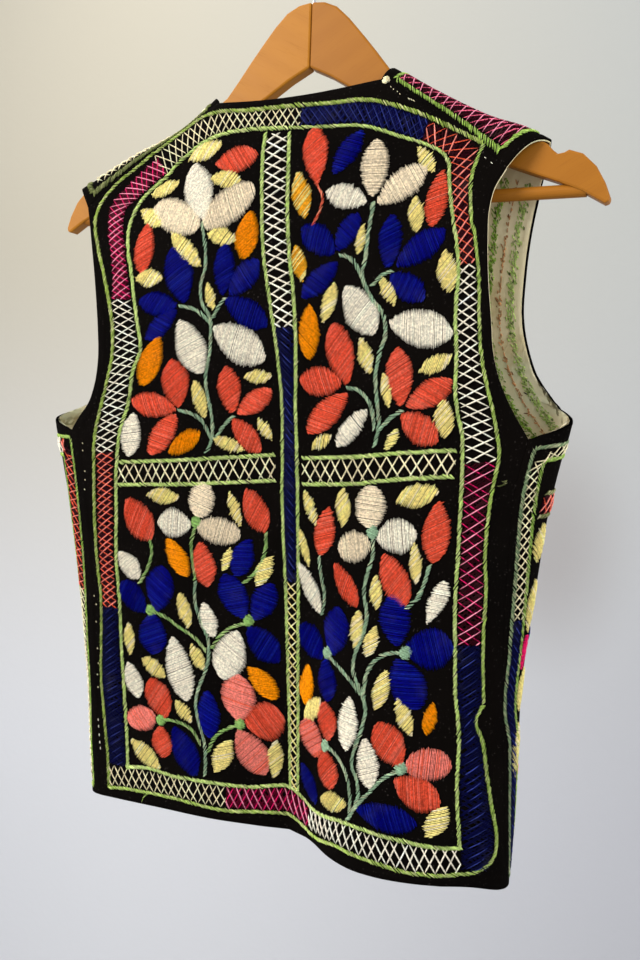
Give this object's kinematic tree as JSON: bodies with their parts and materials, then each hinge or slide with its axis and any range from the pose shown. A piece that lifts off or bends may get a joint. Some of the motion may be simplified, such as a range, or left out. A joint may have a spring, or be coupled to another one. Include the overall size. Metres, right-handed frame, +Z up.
{
  "type": "embroidered waistcoat on a wooden hanger",
  "caption": "Sleeveless open-fronted waistcoat in black cotton with floral embroidery and a cream lining, hanging on a plain wooden hanger with a trouser bar and a wire hook.",
  "frame": {"origin": "inside top of the hook's crook, where the rail or peg carries the hanger", "axes": "+Z up, +Y out of the garment's back, +X towards the wearer's left"},
  "size_m": [0.4535, 0.0951, 0.7261],
  "materials": {
    "black_cotton": "closely woven matt black cotton, worked with satin stitch flowers and leaves, herringbone lattice bands and plaited green lines",
    "cream_cotton": "plain cream cotton lining, worn soft, with blurred green and rust lines of reverse stitches",
    "pale_wood": "clear satin varnish over pale golden hardwood with grain along each arm",
    "steel_wire": "bright plated steel wire"
  },
  "bodies": {
    "root": {"back": "black_cotton", "front_left": "black_cotton", "front_right": "black_cotton", "shoulder_left": "black_cotton", "shoulder_right": "black_cotton", "lining_back": "cream_cotton", "lining_front_left": "cream_cotton", "lining_front_right": "cream_cotton", "hanger_arm_left": "pale_wood", "hanger_arm_right": "pale_wood", "trouser_bar": "pale_wood", "hook": "steel_wire"}
  },
  "joints": []
}
